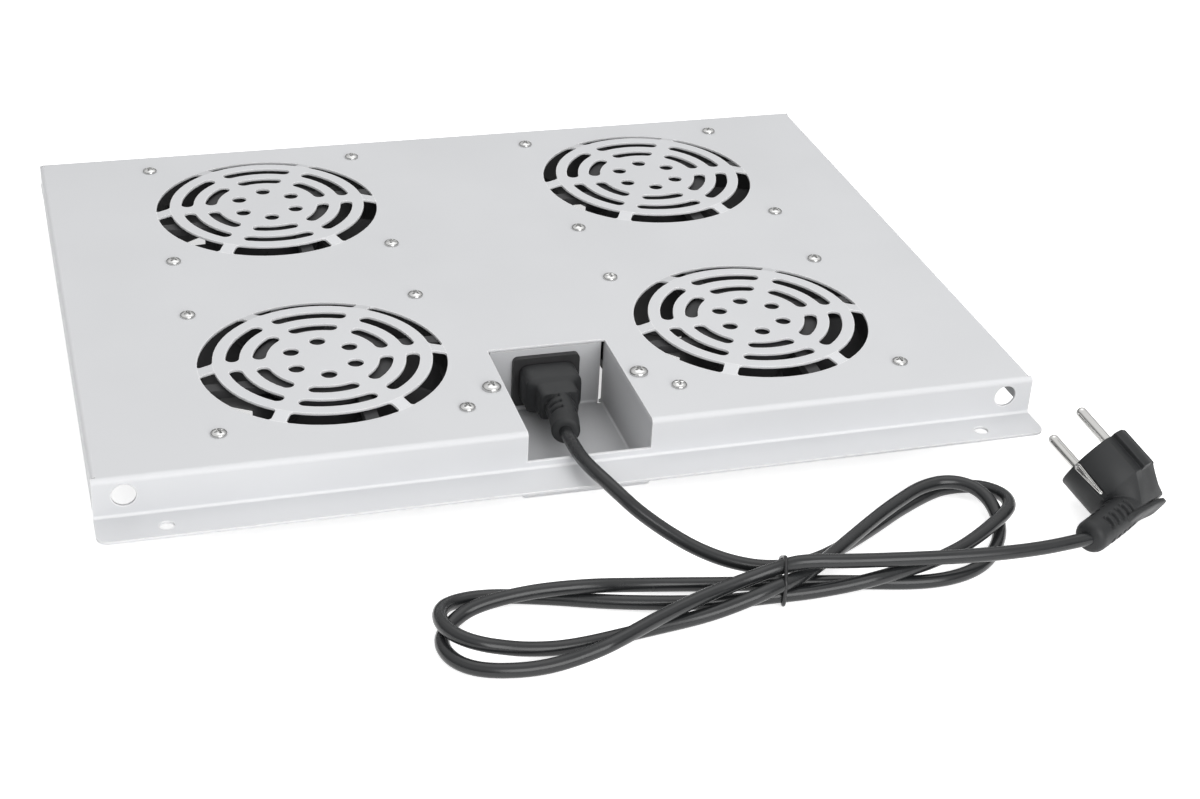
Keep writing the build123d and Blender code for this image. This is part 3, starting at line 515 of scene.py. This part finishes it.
def makeGroup(name, inputs, outputs):
    group = bpy.data.node_groups.new(name, "ShaderNodeTree")
    for label, kind in inputs:
        group.interface.new_socket(label, in_out="INPUT", socket_type=kind)
    for label, kind in outputs:
        group.interface.new_socket(label, in_out="OUTPUT", socket_type=kind)
    return group, group.nodes.new("NodeGroupInput"), group.nodes.new("NodeGroupOutput")


def mathNode(tree, operation, first, second):
    # each value is a number or another node's output
    node = tree.nodes.new("ShaderNodeMath")
    node.operation = operation
    for socket, value in zip(node.inputs, (first, second)):
        if isinstance(value, (int, float)):
            socket.default_value = value
        else:
            tree.links.new(value, socket)
    return node.outputs[0]


def mixColours(tree, share, first, second):
    # the first colour where the share is 0 and the second where it is 1, each a colour or another node's output
    mix = tree.nodes.new("ShaderNodeMix")
    mix.data_type = "RGBA"
    tree.links.new(share, mix.inputs[0])
    for socket, colour in zip(mix.inputs[6:8], (first, second)):  # the two sockets for colours
        if isinstance(colour, tuple):
            socket.default_value = (*colour, 1.0)
        else:
            tree.links.new(colour, socket)
    return mix.outputs[2]


# what all finishes share: how finely edges and the painted shade of hollows are sampled, the clouds' range and
# the plain gloss
finishLook = {"edgeSamples": 4, "hollowSamples": 8, "cloudRange": (0.3, 0.7), "plainShine": 0.5}

# fine grain for bump, and broad clouds for colour and gloss
grainGroup, enter, leave = makeGroup(
    "fineGrain",
    [("Vector", "NodeSocketVector"), ("Fine", "NodeSocketFloat"), ("Broad", "NodeSocketFloat")],
    [("Grain", "NodeSocketFloat"), ("Cloud", "NodeSocketFloat")],
)
for label, detail, output in (("Fine", 3.0, "Grain"), ("Broad", 2.0, "Cloud")):
    noise = grainGroup.nodes.new("ShaderNodeTexNoise")
    noise.inputs["Detail"].default_value = detail
    grainGroup.links.new(enter.outputs["Vector"], noise.inputs["Vector"])
    grainGroup.links.new(enter.outputs[label], noise.inputs["Scale"])
    grainGroup.links.new(noise.outputs["Fac"], leave.inputs[output])

# edges that a coating or a mould leaves slightly round, and a mask of where they are, for a painted highlight
# along them
edgeGroup, enter, leave = makeGroup(
    "roundedEdge",
    [("Radius", "NodeSocketFloat"), ("Gain", "NodeSocketFloat")],
    [("Normal", "NodeSocketVector"), ("EdgeHighlight", "NodeSocketFloat")],
)
bevel = edgeGroup.nodes.new("ShaderNodeBevel")
bevel.samples = finishLook["edgeSamples"]
surface = edgeGroup.nodes.new("ShaderNodeNewGeometry")
compare = edgeGroup.nodes.new("ShaderNodeVectorMath")
compare.operation = "DOT_PRODUCT"
edgeGroup.links.new(enter.outputs["Radius"], bevel.inputs["Radius"])
edgeGroup.links.new(bevel.outputs["Normal"], compare.inputs[0])
edgeGroup.links.new(surface.outputs["Normal"], compare.inputs[1])
turned = mathNode(edgeGroup, "SUBTRACT", 1.0, compare.outputs["Value"])
gained = mathNode(edgeGroup, "MULTIPLY", turned, enter.outputs["Gain"])
edgeGroup.links.new(mathNode(edgeGroup, "MINIMUM", gained, 1.0), leave.inputs["EdgeHighlight"])
edgeGroup.links.new(bevel.outputs["Normal"], leave.inputs["Normal"])


def makeFinish(name, look):
    # clouds between two colours, with a painted highlight along edges, gloss from the clouds and bump from the
    # grain
    material = bpy.data.materials.new(name)
    material.use_nodes = True
    tree = material.node_tree
    shader = tree.nodes["Principled BSDF"]
    place = tree.nodes.new("ShaderNodeTexCoord")
    grain = tree.nodes.new("ShaderNodeGroup")
    grain.node_tree = grainGroup
    grain.inputs["Fine"].default_value = look["fine"]
    grain.inputs["Broad"].default_value = look["broad"]
    tree.links.new(place.outputs["Object"], grain.inputs["Vector"])
    edge = tree.nodes.new("ShaderNodeGroup")
    edge.node_tree = edgeGroup
    edge.inputs["Radius"].default_value = look["edgeRadius"]
    edge.inputs["Gain"].default_value = look["edgeHighlightGain"]
    colour = mixColours(tree, grain.outputs["Cloud"], look["dark"], look["pale"])
    # painted highlight: the edge colour mixed in along edges
    colour = mixColours(tree, edge.outputs["EdgeHighlight"], colour, look["edge"])
    # painted shade: the colour is darkened in hollows about this wide, as if less light reached them
    if "hollow" in look:  # less light reaches hollows that are about this wide
        shadeOcclusion = tree.nodes.new("ShaderNodeAmbientOcclusion")
        shadeOcclusion.samples = finishLook["hollowSamples"]
        shadeOcclusion.only_local = True
        shadeOcclusion.inputs["Distance"].default_value = look["hollow"]
        colour = mixColours(tree, shadeOcclusion.outputs["AO"], look["paintedShade"], colour)
    tree.links.new(colour, shader.inputs["Base Color"])
    gloss = tree.nodes.new("ShaderNodeMapRange")
    for label, values in (("From", finishLook["cloudRange"]), ("To", look["rough"])):
        gloss.inputs[label + " Min"].default_value = values[0]
        gloss.inputs[label + " Max"].default_value = values[1]
    tree.links.new(grain.outputs["Cloud"], gloss.inputs["Value"])
    tree.links.new(gloss.outputs["Result"], shader.inputs["Roughness"])
    bump = tree.nodes.new("ShaderNodeBump")
    bump.inputs["Strength"].default_value = look["bump"]
    bump.inputs["Distance"].default_value = look["relief"]
    tree.links.new(grain.outputs["Grain"], bump.inputs["Height"])
    tree.links.new(edge.outputs["Normal"], bump.inputs["Normal"])
    tree.links.new(bump.outputs["Normal"], shader.inputs["Normal"])
    shader.inputs["Metallic"].default_value = look["metal"]
    shader.inputs["Specular IOR Level"].default_value = look.get("shine", finishLook["plainShine"])
    return material


def perFan(stem):
    return [stem + end for end in fanPlaces]


# each finish with the CAD nodes it goes on; those with none are for the new pieces; its edge colour is a
# painted highlight along edges
finishes = {
    "trayPaint": {
        "on": ["tray_panel"],
        "dark": (0.650, 0.657, 0.672), "pale": (0.690, 0.697, 0.712), "edge": (0.97, 0.97, 0.975),
        "rough": (0.42, 0.55), "metal": 0.0, "fine": 1500.0, "broad": 18.0,
        "bump": 0.12, "relief": 0.0002, "edgeRadius": 0.0008, "edgeHighlightGain": 45.0,
    },
    # the tray's paint a little darker, with painted shade in the hollows of the recess
    "shadedBracketPaint": {
        "on": ["socket_bracket"],
        "dark": (0.640, 0.647, 0.662), "pale": (0.680, 0.687, 0.702), "edge": (0.95, 0.95, 0.955),
        "rough": (0.42, 0.55), "metal": 0.0, "fine": 1500.0, "broad": 18.0,
        "bump": 0.12, "relief": 0.0002, "edgeRadius": 0.0007, "edgeHighlightGain": 30.0,
        "hollow": 0.045, "paintedShade": (0.24, 0.242, 0.247),
    },
    "zincScrews": {
        "on": ["bracket_nuts", "fan_nuts"],
        "dark": (0.50, 0.50, 0.50), "pale": (0.68, 0.68, 0.67), "edge": (0.80, 0.80, 0.79),
        "rough": (0.14, 0.26), "metal": 1.0, "fine": 2600.0, "broad": 160.0,
        "bump": 0.01, "relief": 0.0001, "edgeRadius": 0.0003, "edgeHighlightGain": 1.0,
        # painted shade in the cross recesses
        "hollow": 0.0016, "paintedShade": (0.05, 0.05, 0.05),
    },
    "inletPlastic": {
        "on": ["inlet_socket"],
        "dark": (0.018, 0.018, 0.019), "pale": (0.03, 0.03, 0.031), "edge": (0.06, 0.06, 0.06),
        "rough": (0.42, 0.55), "metal": 0.0, "fine": 2200.0, "broad": 160.0,
        "bump": 0.1, "relief": 0.0001, "edgeRadius": 0.0004, "edgeHighlightGain": 0.8,
    },
    "nickelContacts": {
        "on": ["inlet_pins"] + perFan("fan_terminals_"),
        "dark": (0.58, 0.575, 0.56), "pale": (0.68, 0.675, 0.66), "edge": (0.78, 0.77, 0.76),
        "rough": (0.10, 0.11), "metal": 1.0, "fine": 1800.0, "broad": 80.0,
        "bump": 0.0, "relief": 0.0001, "edgeRadius": 0.0003, "edgeHighlightGain": 1.0,
    },
    "cordMoulding": {
        "on": [],
        "dark": (0.016, 0.017, 0.018), "pale": (0.026, 0.027, 0.028), "edge": (0.055, 0.056, 0.058),
        "rough": (0.46, 0.58), "shine": 0.35, "metal": 0.0, "fine": 2400.0, "broad": 130.0,
        "bump": 0.2, "relief": 0.0001, "edgeRadius": 0.0006, "edgeHighlightGain": 0.9,
    },
    "cordSheath": {
        "on": [],
        "dark": (0.014, 0.015, 0.016), "pale": (0.022, 0.023, 0.024), "edge": (0.03, 0.03, 0.03),
        "rough": (0.20, 0.28), "shine": 0.45, "metal": 0.0, "fine": 1700.0, "broad": 90.0,
        "bump": 0.05, "relief": 0.0001, "edgeRadius": 0.0002, "edgeHighlightGain": 0.0,
    },
    "tiePlastic": {
        "on": [],
        "dark": (0.010, 0.010, 0.011), "pale": (0.018, 0.018, 0.019), "edge": (0.02, 0.02, 0.02),
        "rough": (0.3, 0.42), "metal": 0.0, "fine": 2600.0, "broad": 400.0,
        "bump": 0.05, "relief": 0.0001, "edgeRadius": 0.0002, "edgeHighlightGain": 0.0,
    },
    "fanFramePlastic": {
        "on": perFan("fan_frame_"),
        "dark": (0.044, 0.044, 0.046), "pale": (0.058, 0.058, 0.060), "edge": (0.075, 0.075, 0.077),
        "rough": (0.55, 0.7), "shine": 0.3, "metal": 0.0, "fine": 1600.0, "broad": 60.0,
        "bump": 0.15, "relief": 0.0001, "edgeRadius": 0.0005, "edgeHighlightGain": 0.8,
    },
    "impellerPlastic": {
        "on": [],
        "dark": (0.038, 0.038, 0.040), "pale": (0.052, 0.052, 0.054), "edge": (0.065, 0.065, 0.067),
        "rough": (0.55, 0.7), "shine": 0.3, "metal": 0.0, "fine": 1500.0, "broad": 70.0,
        "bump": 0.1, "relief": 0.0001, "edgeRadius": 0.0004, "edgeHighlightGain": 0.7,
    },
    "rotorSteel": {
        "on": perFan("rotor_cup_"),
        "dark": (0.036, 0.036, 0.038), "pale": (0.050, 0.050, 0.052), "edge": (0.09, 0.09, 0.092),
        "rough": (0.45, 0.6), "shine": 0.3, "metal": 0.0, "fine": 1400.0, "broad": 90.0,
        "bump": 0.06, "relief": 0.0001, "edgeRadius": 0.0004, "edgeHighlightGain": 1.0,
    },
    "shaftSteel": {
        "on": perFan("fan_shaft_"),
        "dark": (0.52, 0.52, 0.53), "pale": (0.62, 0.62, 0.63), "edge": (0.7, 0.7, 0.7),
        "rough": (0.14, 0.24), "metal": 1.0, "fine": 2000.0, "broad": 200.0,
        "bump": 0.03, "relief": 0.0001, "edgeRadius": 0.0002, "edgeHighlightGain": 1.0,
    },
    "bearingBronze": {
        "on": perFan("fan_bearings_"),
        "dark": (0.36, 0.22, 0.10), "pale": (0.50, 0.32, 0.16), "edge": (0.6, 0.42, 0.22),
        "rough": (0.32, 0.48), "metal": 1.0, "fine": 1800.0, "broad": 300.0,
        "bump": 0.08, "relief": 0.0001, "edgeRadius": 0.0002, "edgeHighlightGain": 1.0,
    },
    "motorIron": {
        "on": perFan("fan_stator_"),
        "dark": (0.16, 0.16, 0.17), "pale": (0.28, 0.28, 0.29), "edge": (0.4, 0.4, 0.4),
        "rough": (0.4, 0.6), "metal": 1.0, "fine": 1200.0, "broad": 160.0,
        "bump": 0.12, "relief": 0.0001, "edgeRadius": 0.0003, "edgeHighlightGain": 1.0,
    },
}
materials = {name: makeFinish(name, look) for name, look in finishes.items()}
for name, look in finishes.items():
    for nodeName in look["on"]:
        nodes[nodeName].data.materials.clear()
        nodes[nodeName].data.materials.append(materials[name])
print("finishes given to", sum(len(look["on"]) for look in finishes.values()), "nodes")

# each new piece with its finish, the body it rides on, the record's slot and the nodes it stands for
dressed = [
    (mainsCord, "cordSheath", "tray", "cord_sheath", ["cord_lead", "cord_hank", "cord_tail"]),
    (hankTie, "tiePlastic", "tray", "tie_plastic", ["cord_tie"]),
    (plugBody, "cordMoulding", "tray", "cord_moulding", ["plug_body"]),
    (plugPins, "nickelContacts", "tray", "nickel_contacts", ["plug_pins"]),
    (earthStrips, "nickelContacts", "tray", "nickel_contacts", ["plug_earth_clips"]),
    (cordConnector, "cordMoulding", "tray", "cord_moulding", ["cord_connector"]),
    (fanScrews, "zincScrews", "tray", "zinc_screws", ["fan_screws"]),
    (bracketScrews, "zincScrews", "tray", "zinc_screws", ["bracket_screws"]),
]
dressed += [(impellers[end], "impellerPlastic", "rotor_" + end, "impeller_plastic", ["impeller_" + end])
            for end in fanPlaces]
for piece, finish, body, slotName, stoodFor in dressed:
    piece.data.materials.append(materials[finish])
    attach(piece, body)
    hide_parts(*stoodFor)

# a white sweep that keeps the soft shadow, and even studio light
studio = {
    "floorSize": 8.0, "floorLevel": -0.0002, "floorColour": 0.9, "floorLift": 0.68,
    "skyLight": 0.735, "horizon": 0.05,
    "lowSky": 0.30, "fullSky": 0.55,  # strength at the horizon, and the height where it is full
    "lowMirror": 0.04, "fullMirror": 0.70,  # the same for what gloss shows
}
floorMesh = bpy.data.meshes.new("studioFloor")
half = studio["floorSize"] / 2.0
floorSquare = ((-half, -half), (half, -half), (half, half), (-half, half))
floorMesh.from_pydata([(*corner, studio["floorLevel"]) for corner in floorSquare], [], [(0, 1, 2, 3)])
floor = bpy.data.objects.new("studioFloor", floorMesh)
scene.collection.objects.link(floor)
floorMaterial = bpy.data.materials.new("studioFloor")
floorMaterial.use_nodes = True
floorTree = floorMaterial.node_tree
floorTree.nodes.clear()
matt = floorTree.nodes.new("ShaderNodeBsdfDiffuse")
matt.inputs["Color"].default_value = (studio["floorColour"],) * 3 + (1.0,)
lift = floorTree.nodes.new("ShaderNodeEmission")
both = floorTree.nodes.new("ShaderNodeAddShader")
floorOut = floorTree.nodes.new("ShaderNodeOutputMaterial")
floorRays = floorTree.nodes.new("ShaderNodeLightPath").outputs
seen = mathNode(floorTree, "MAXIMUM", floorRays["Is Camera Ray"], floorRays["Is Glossy Ray"])
seen = mathNode(floorTree, "MAXIMUM", seen, floorRays["Is Transmission Ray"])
floorTree.links.new(mathNode(floorTree, "MULTIPLY", seen, studio["floorLift"]), lift.inputs["Strength"])
floorTree.links.new(matt.outputs[0], both.inputs[0])
floorTree.links.new(lift.outputs[0], both.inputs[1])
floorTree.links.new(both.outputs[0], floorOut.inputs["Surface"])
floorMesh.materials.append(floorMaterial)

# the sky is dimmer towards the horizon, as round a softbox, and white where the camera sees it
world = bpy.data.worlds.new("studioWorld")
scene.world = world
world.use_nodes = True
worldTree = world.node_tree
worldTree.nodes.clear()
sky = worldTree.nodes.new("ShaderNodeBackground")
sky.inputs["Color"].default_value = (1.0, 1.0, 1.0, 1.0)
skyRays = worldTree.nodes.new("ShaderNodeLightPath").outputs
direction = worldTree.nodes.new("ShaderNodeTexCoord")
heights = worldTree.nodes.new("ShaderNodeSeparateXYZ")
worldTree.links.new(direction.outputs["Generated"], heights.inputs[0])
slopes = {}
for kind in ("Sky", "Mirror"):
    slope = worldTree.nodes.new("ShaderNodeMapRange")
    slope.inputs["From Min"].default_value = studio["horizon"]
    slope.inputs["From Max"].default_value = studio["full" + kind]
    slope.inputs["To Min"].default_value = studio["low" + kind]
    slope.inputs["To Max"].default_value = 1.0
    worldTree.links.new(heights.outputs["Z"], slope.inputs["Value"])
    slopes[kind] = slope.outputs["Result"]
mirrored = mathNode(worldTree, "MAXIMUM", skyRays["Is Glossy Ray"], skyRays["Is Transmission Ray"])
unseen = mathNode(worldTree, "SUBTRACT", 1.0, mirrored)
lit = mathNode(worldTree, "MULTIPLY", slopes["Sky"], studio["skyLight"])
lit = mathNode(worldTree, "MULTIPLY", lit, unseen)
shown = mathNode(worldTree, "MULTIPLY", slopes["Mirror"], mirrored)
strength = mathNode(worldTree, "ADD", lit, shown)
strength = mathNode(worldTree, "MAXIMUM", strength, skyRays["Is Camera Ray"])
worldTree.links.new(strength, sky.inputs["Strength"])
worldOut = worldTree.nodes.new("ShaderNodeOutputWorld")
worldTree.links.new(sky.outputs[0], worldOut.inputs["Surface"])

softboxes = {
    "frontBox": {"place": (0.30, -1.9, 0.95), "aim": (0.05, -0.05, 0.03), "size": 1.4, "power": 25.0},
    "topBox": {"place": (0.3, 0.4, 1.7), "aim": (0.0, 0.0, 0.03), "size": 1.4, "power": 5.0},
}
for name, box in softboxes.items():
    lampData = bpy.data.lights.new(name, "AREA")
    lampData.shape = "SQUARE"
    lampData.size = box["size"]
    lampData.energy = box["power"]
    lamp = bpy.data.objects.new(name, lampData)
    scene.collection.objects.link(lamp)
    lamp.location = box["place"]
    lamp.rotation_euler = (Vector(box["aim"]) - Vector(box["place"])).to_track_quat("-Z", "Y").to_euler()
print("studio lit")
